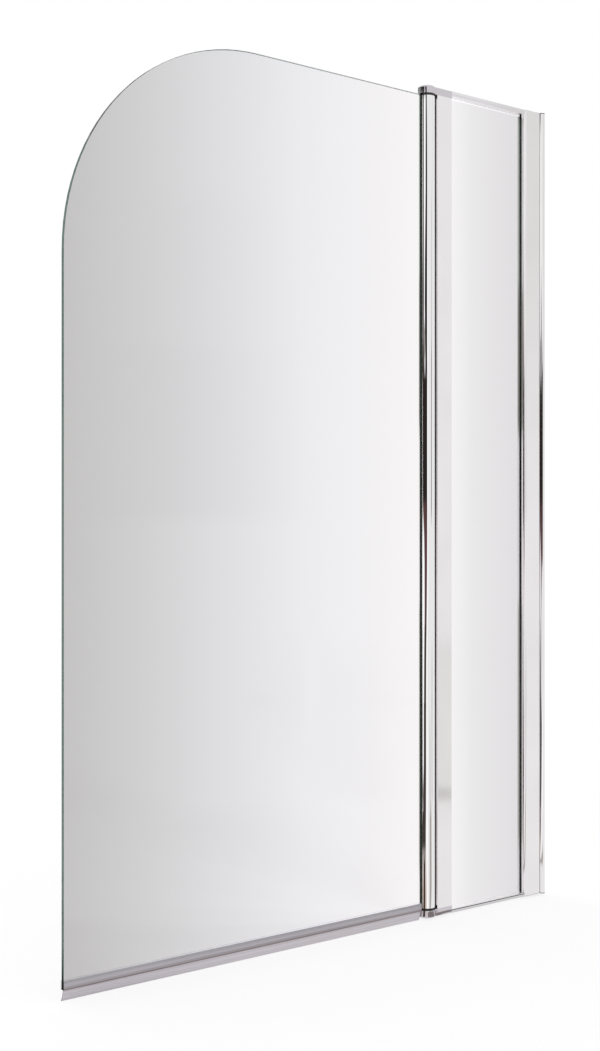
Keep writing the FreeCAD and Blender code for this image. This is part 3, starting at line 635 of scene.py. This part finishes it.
# Cards that keep the dark ones off the bead at the wall, above and below its middle
beadCards = [
    {"name": "beadPaleHigh", "colour": likeSurroundings, "side": 0.08, "ends": (0.02, 0.04),
     "centre": besideBead, "radius": 0.42,
     "levels": [(0.98, 190, 242), (0.52, 203, 242), (0.27, 219, 225)]},
    {"name": "beadPaleLow", "colour": likeSurroundings, "side": 0.08, "ends": (0.10, 0.20),
     "centre": besideBead, "radius": 0.42,
     "levels": [(-0.10, 219, 225), (-0.24, 203, 242), (-0.46, 203, 242)]},
]
lyingCards = [
    {"name": "whiteFloor", "colour": white, "side": 0.06, "ends": (0.02, 0.02), "lift": 0.4,
     "levels": [(3.5, 150, 254), (0.05, 150, 254)]},
    {"name": "greyFloor", "colour": (0.52, 0.52, 0.48), "side": 0.05, "ends": (0.05, 0.05), "lift": 0.6,
     "levels": [(3.5, 40, 142), (0.3, 40, 142)]},
    {"name": "brownFloor", "colour": brown, "side": 0.12, "ends": (0.04, 0.08), "lift": 0.8,
     "levels": [(3.5, 188, 223), (1.73, 187, 223), (1.0, 170, 222), (0.80, 160, 221), (0.36, 160, 221)]},
    {"name": "leftFloor", "colour": (0.10, 0.09, 0.085), "side": 0.14, "ends": (0.05, 0.10), "lift": 0.8,
     "levels": [(3.5, 156, 178), (1.0, 156, 184)]},
    {"name": "beigeFloor", "colour": beige, "side": 0.12, "ends": (0.70, 0.12), "lift": 1.2,
     "levels": [(0.66, 150, 236), (0.02, 150, 236)]},
    {"name": "darkFloor", "colour": (0.05, 0.035, 0.03), "side": 0.2, "ends": (0.3, 0.02), "lift": 1.6,
     "levels": [(0.62, 184, 214), (0.16, 184, 214), (0.02, 184, 212)]},
    {"name": "capLineFloor", "colour": (0.25, 0.22, 0.21), "side": 0.25, "ends": (0.2, 0.02), "lift": 1.6,
     "levels": [(0.085, 145, 161), (0.02, 145, 161)]},
    {"name": "paleFloorLeft", "colour": (0.50, 0.485, 0.475), "side": 0.4, "ends": (0.04, 0.1), "lift": 0.8,
     "levels": [(3.5, 268, 282), (1.0, 266, 286)]},
    {"name": "paleFloorRight", "colour": (0.40, 0.395, 0.395), "side": 0.4, "ends": (0.04, 0.1), "lift": 0.8,
     "levels": [(3.5, 300, 313), (1.0, 300, 312)]},
    {"name": "nearFloor", "colour": (0.36, 0.33, 0.31), "side": 0.40, "ends": (0.25, 0.02), "lift": 1.2,
     "levels": [(1.20, 264, 304), (0.30, 262, 308), (0.10, 260, 288), (0.02, 260, 288)]},
    {"name": "stileFloor", "colour": paleGreen, "side": 0.2, "ends": (0.04, 0.10), "lift": 1.2,
     "levels": [(3.5, 312, 317.5), (0.95, 312, 317.5)]},
    {"name": "capFrontFloor", "colour": (0.27, 0.24, 0.23), "side": 0.10, "ends": (0.15, 0.02), "lift": 1.8,
     "levels": [(0.075, 238, 320), (0.02, 238, 320)]},
    {"name": "underCap", "colour": (0.30, 0.27, 0.26), "side": 0.05, "ends": (0.10, 0.05), "lift": 2.0,
     "levels": [(0.084, 333, 336), (0.071, 328, 338), (0.063, 323, 341), (0.0476, 311, 336),
                (0.02, 311, 336)]},
    {"name": "stilePatch", "colour": (0.58, 0.58, 0.555), "side": 0.15, "ends": (0.35, 0.35), "lift": 1.6,
     "levels": [(1.36, 313.0, 316.2), (1.10, 313.0, 316.6)]},
]


def makeCardMaterial(card):
    material, tree = newMaterial(card["name"])[:2]
    glow = addNode(tree, "ShaderNodeEmission")
    glow.inputs["Color"].default_value = (*card["colour"], 1.0)
    clear = addNode(tree, "ShaderNodeBsdfTransparent")
    place = addNode(tree, "ShaderNodeUVMap", uv_map="cardPlace")
    axes = splitAxes(tree, place.outputs["UV"])
    # The card fades at both sides, then at its first and last level
    fromSide = addNode(tree, "ShaderNodeMath", operation="PINGPONG")
    fromSide.inputs[1].default_value = 0.5    # half the card's width
    tree.links.new(axes["X"], fromSide.inputs[0])
    cover = addRange(tree, fromSide.outputs["Value"], 0.0, card["side"], 0.0, 1.0)
    first, last = card["ends"]
    for fadeFrom, fadeTo in ((0.0, first), (1.0, 1.0 - last)):
        endCover = addRange(tree, axes["Y"], fadeFrom, fadeTo, 0.0, 1.0)
        cover = addMath(tree, "MULTIPLY", cover, endCover)
    # 1 once a mirror has thrown the ray on, also where it then passes a pane
    rays = addNode(tree, "ShaderNodeLightPath").outputs
    thrown = addRange(tree, rays["Glossy Depth"], 0.0, 1.0, 0.0, 1.0)
    seen = addMath(tree, "MULTIPLY", cover, thrown)
    mixShaders(tree, seen, clear.outputs["BSDF"], glow.outputs["Emission"])
    return material


def ringPoint(centre, angle, distance, height):
    turned = math.radians(angle)
    return (centre[0] + distance * math.cos(turned), centre[1] + distance * math.sin(turned), height)


# Each rim gives (distance, height, from, to) at one level of the card
def makeCard(card, rims):
    mesh = bpy.data.meshes.new(card["name"])
    builder = bmesh.new()
    uvLayer = builder.loops.layers.uv.new("cardPlace")
    columns = ring["columns"]
    centre = card.get("centre", postCentre)
    lengths = [0.0]
    for before, after in zip(rims, rims[1:]):
        lengths.append(lengths[-1] + math.hypot(after[0] - before[0], after[1] - before[1]))
    rows = []
    for (distance, height, start, end), length in zip(rims, lengths):
        row = []
        for column in range(columns + 1):
            share = column / columns
            point = ringPoint(centre, start + (end - start) * share, distance, height)
            row.append((builder.verts.new(point), (share, length / lengths[-1])))
        rows.append(row)
    for upper, lower in zip(rows, rows[1:]):
        for column in range(columns):
            corners = (upper[column], upper[column + 1], lower[column + 1], lower[column])
            face = builder.faces.new([corner[0] for corner in corners])
            for loop, corner in zip(face.loops, corners):
                loop[uvLayer].uv = corner[1]
    builder.to_mesh(mesh)
    builder.free()
    mesh.materials.append(makeCardMaterial(card))
    placed = bpy.data.objects.new(card["name"], mesh)
    bpy.context.scene.collection.objects.link(placed)
    placed.visible_camera = False
    placed.visible_diffuse = False
    placed.visible_shadow = False


for card in standingCards + beadCards:
    radius = card.get("radius", ring["radius"])
    makeCard(card, [(radius, height, start, end) for height, start, end in card["levels"]])
for card in lyingCards:
    height = studio["floorHeight"] + card["lift"] * mm
    makeCard(card, [(distance, height, start, end) for distance, start, end in card["levels"]])

makeFloor()
makeSurroundings()
for lamp in softLamps:
    makeLamp(lamp)


# Camera at the photograph's place: level, looking at the screen from its front left

viewpoint = {
    "place": (-2.0785, -1.877, -0.041),
    "tilt": 90.0,
    "turn": -38.87,
    "focal": 51.24,
    "sensor": 36.0,
    "nearest": 0.05,
    "farthest": 60.0,
}


def makeCamera():
    lens = bpy.data.cameras.new("camera")
    lens.lens = viewpoint["focal"]
    lens.sensor_width = viewpoint["sensor"]
    lens.clip_start = viewpoint["nearest"]
    lens.clip_end = viewpoint["farthest"]
    camera = bpy.data.objects.new("camera", lens)
    camera.location = viewpoint["place"]
    camera.rotation_euler = (math.radians(viewpoint["tilt"]), 0.0, math.radians(viewpoint["turn"]))
    bpy.context.scene.collection.objects.link(camera)
    bpy.context.scene.camera = camera


makeCamera()
bpy.context.scene.view_settings.view_transform = "Standard"
print("studio and camera ready")
